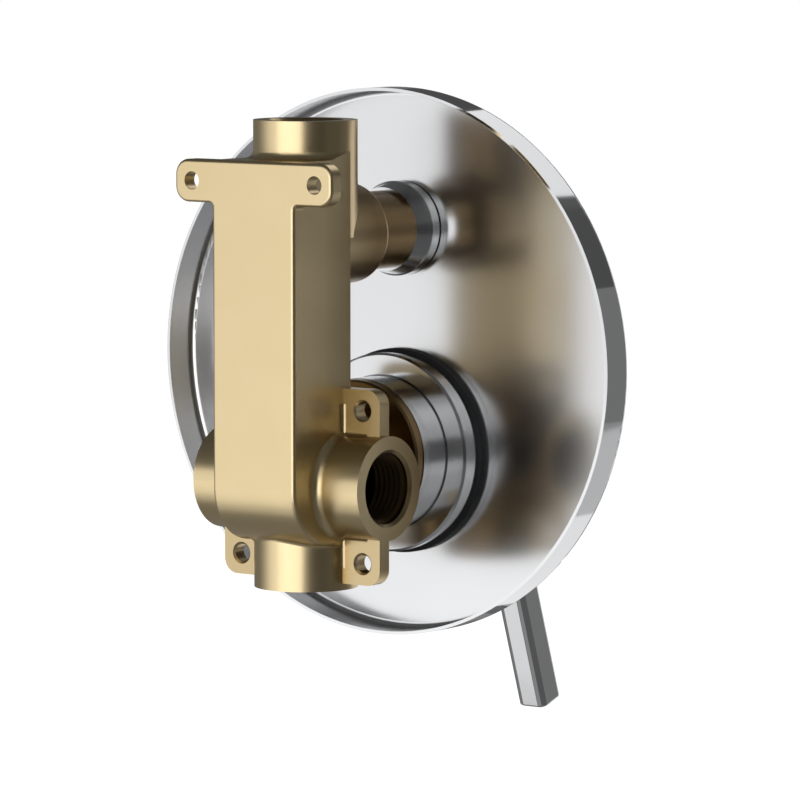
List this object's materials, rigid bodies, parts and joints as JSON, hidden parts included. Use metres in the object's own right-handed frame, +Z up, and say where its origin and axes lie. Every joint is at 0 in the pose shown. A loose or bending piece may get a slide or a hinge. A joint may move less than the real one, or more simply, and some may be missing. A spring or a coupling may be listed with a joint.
{
  "type": "concealed bath mixer",
  "caption": "Concealed bath mixer: cast in-wall body with side inlets, upper and lower outlets, round wall plate, lever handle and diverter knob.",
  "frame": {"origin": "point where the axes of the four pipe ends cross, which is also the centre of the four-lug pattern", "axes": "+X to the right seen from the room, +Y into the wall, +Z up along the outlet pipe ends"},
  "size_m": [0.165, 0.1512, 0.1972],
  "materials": {
    "cast_brass": "satin, as cast and blasted",
    "chrome": "polished",
    "turned_brass": "turned",
    "steel": "plain",
    "black_rubber": "matte",
    "ceramic": "lapped",
    "dark_plastic": "moulded",
    "grey_plastic": "moulded"
  },
  "bodies": {
    "mixer": {"valve_body": "cast_brass", "cartridge_base": "dark_plastic", "base_seals": "black_rubber", "fixed_disc": "ceramic", "cartridge_housing": "dark_plastic", "cartridge_nut": "turned_brass", "cover_sleeve": "chrome", "wall_plate": "chrome", "plate_ring": "chrome", "sleeve_seal": "black_rubber", "plate_gasket": "black_rubber", "diverter_collar": "chrome", "diverter_seal": "black_rubber", "diverter_shell": "turned_brass", "shell_oring": "black_rubber", "gland_nut": "turned_brass"},
    "guide": {"stem_guide": "dark_plastic", "stem_pin": "steel"},
    "handle": {"cartridge_stem": "turned_brass", "handle_body": "chrome", "lever": "chrome", "handle_grub_screw": "steel", "grub_plug": "grey_plastic"},
    "disc": {"disc_carrier": "dark_plastic", "moving_disc": "ceramic"},
    "diverter": {"diverter_rotor": "turned_brass", "diverter_spindle": "turned_brass", "spindle_oring": "black_rubber", "spindle_clip": "steel", "diverter_knob": "chrome", "knob_grub_screw": "steel"}
  },
  "joints": [
    {"name": "handle_turn", "type": "hinge", "parent": "mixer", "child": "guide", "pos_m": [0, -0.054, 0.00545], "axis": [0, 1, 0], "range_deg": [-50, 50]},
    {"name": "handle_lift", "type": "hinge", "parent": "guide", "child": "handle", "pos_m": [0, -0.054, 0.00545], "axis": [-1, 0, 0], "range_deg": [0, 25]},
    {"name": "disc_slide", "type": "slide", "parent": "guide", "child": "disc", "axis": [0, 0, -1], "range_m": [0, 0.00456]},
    {"name": "diverter_turn", "type": "hinge", "parent": "mixer", "child": "diverter", "pos_m": [0, -0.03, 0.07285], "axis": [0, 1, 0], "range_deg": [0, 90]}
  ],
  "couplings": [
    {"joint": "disc_slide", "follows": "handle_lift", "m_per_rad": 0.010416}
  ]
}
